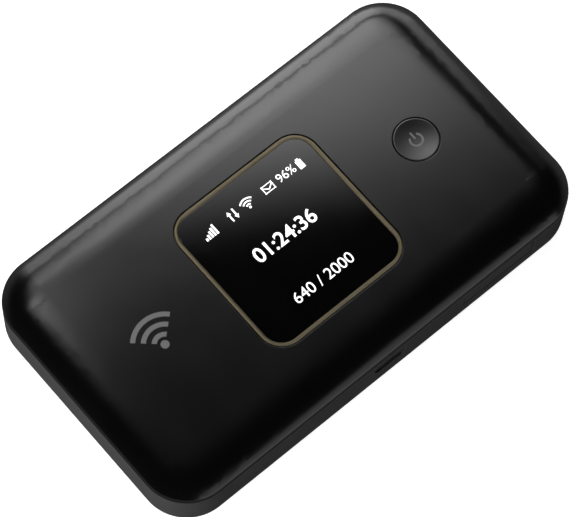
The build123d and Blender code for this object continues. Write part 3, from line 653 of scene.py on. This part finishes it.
def softbox(name, centre, across, facing, size, radiance, fades):
    """Area light. across is the direction of its width and facing is where it shines.

    fades gives the lengths over which it fades out at its sides: low and high across, then low and
    high up. The camera doesn't see the light itself.
    """
    light = bpy.data.lights.new(name, "AREA")
    light.shape = "RECTANGLE"
    light.size, light.size_y = size
    light.energy = 4 * size[0] * size[1] * radiance
    holder = bpy.data.objects.new(name, light)
    along = Vector(across).normalized()
    back = -Vector(facing).normalized()
    placing = Matrix((along, back.cross(along), back)).transposed().to_4x4()
    placing.translation = Vector(centre)
    holder.matrix_world = placing
    holder.visible_camera = False
    bpy.context.scene.collection.objects.link(holder)
    fade_sides(light, [length / size[index // 2] for index, length in enumerate(fades)])
    return holder


down = (0, 0, -1)
overhead_height = 0.3

# Overhead softbox: level, fading in along the direction (1, 2) from its near side
key_along = Vector((1, 2, 0)).normalized()
key_across = Vector((-key_along.y, key_along.x, 0))
key_start, key_reach = 0.112, 0.3
key_low, key_high = -0.165, 0.15
key_centre = key_along * (key_start + key_reach / 2) + key_across * (key_low + key_high) / 2
key_centre.z = overhead_height
softbox(
    "overhead_softbox",
    centre=key_centre,
    across=-key_across,
    facing=down,
    size=(key_high - key_low, key_reach),
    radiance=2.6,
    fades=(0.165, 0.12, 0.068, 0.06),
)

# Strip beside it, mirrored along the +Y side of the left half of the cover
softbox(
    "left_overhead",
    centre=(-0.0175, 0.128, overhead_height),
    across=(1, 0, 0),
    facing=down,
    size=(0.225, 0.05),
    radiance=5.0,
    fades=(0.16, 0.07, 0.02, 0.03),
)

# Upright softboxes around the hotspot, named after the side that they stand on
softbox(
    "back_softbox",
    centre=(0.235, 0.45, 0.21),
    across=(-1, 0, 0),
    facing=(0, -1, 0),
    size=(0.53, 0.28),
    radiance=2.5,
    fades=(0.2, 0.18, 0.05, 0.03),
)
softbox(
    "right_softbox",
    centre=(0.3, 0.205, 0.18),
    across=(0, 1, 0),
    facing=(-1, 0, 0),
    size=(0.3, 0.24),
    radiance=1.2,
    fades=(0.08, 0.1, 0.05, 0.12),
)
softbox(
    "front_softbox",
    centre=(0.06, -0.4, 0.22),
    across=(1, 0, 0),
    facing=(0, 1, 0),
    size=(0.6, 0.36),
    radiance=0.6,
    fades=(0.1, 0.1, 0.05, 0.12),
)
left_light = softbox(
    "left_softbox",
    centre=(-0.42, 0, 0.09),
    across=(0, -1, 0),
    facing=(1, 0, -0.15),
    size=(0.8, 0.16),
    radiance=18.0,
    fades=(0.15, 0.15, 0.03, 0.09),
)
# Left out of mirror images: at a grazing view the cover would show it as a white sheet
left_light.visible_glossy = False

world = bpy.data.worlds.new("studio")
bpy.context.scene.world = world
world.use_nodes = True
world_tree = world.node_tree
world_place = world_tree.nodes.new("ShaderNodeTexCoord")
world_split = world_tree.nodes.new("ShaderNodeSeparateXYZ")
# Strength by elevation: dim under the horizon, brightest just above it, nearly dark overhead
world_ramp = world_tree.nodes.new("ShaderNodeValToRGB")
world_levels = ((-30, 0.08), (0, 0.25), (12, 0.25), (32, 0.01))
stops = world_ramp.color_ramp.elements
while len(stops) < len(world_levels):
    stops.new(0.5)
for stop, (elevation, strength) in zip(stops, world_levels):
    stop.position = (1 + math.sin(math.radians(elevation))) / 2
    stop.color = (*grey(strength), 1.0)
world_share = world_tree.nodes.new("ShaderNodeMapRange")
world_share.inputs["From Min"].default_value = -1.0
world_tree.links.new(world_place.outputs["Generated"], world_split.inputs["Vector"])
world_tree.links.new(world_split.outputs["Z"], world_share.inputs["Value"])
world_tree.links.new(world_share.outputs["Result"], world_ramp.inputs["Fac"])
world_tree.links.new(world_ramp.outputs["Color"], world_tree.nodes["Background"].inputs["Color"])

# Camera fitted to the perspective in the photograph
camera_target = Vector((-2.51, -2.03, 12.0)) * MM
camera_distance = 564.5 * MM
camera_azimuth = math.radians(-134.42)
camera_elevation = math.radians(67.96)
camera_roll = math.radians(4.225)
camera_sensor = 36.0
camera_lens = 190.24
outward = Vector((
    math.cos(camera_azimuth) * math.cos(camera_elevation),
    math.sin(camera_azimuth) * math.cos(camera_elevation),
    math.sin(camera_elevation),
))
level_right = (-outward).cross(Vector((0, 0, 1))).normalized()
level_up = outward.cross(level_right)
camera_right = math.cos(camera_roll) * level_right + math.sin(camera_roll) * level_up
camera_up = outward.cross(camera_right)
camera_data = bpy.data.cameras.new("camera")
camera_data.sensor_width = camera_sensor
camera_data.lens = camera_lens
camera = bpy.data.objects.new("camera", camera_data)
camera_matrix = Matrix((camera_right, camera_up, outward)).transposed().to_4x4()
camera_matrix.translation = camera_target + outward * camera_distance
camera.matrix_world = camera_matrix
bpy.context.scene.collection.objects.link(camera)
bpy.context.scene.camera = camera
bpy.context.scene.view_settings.view_transform = "Standard"
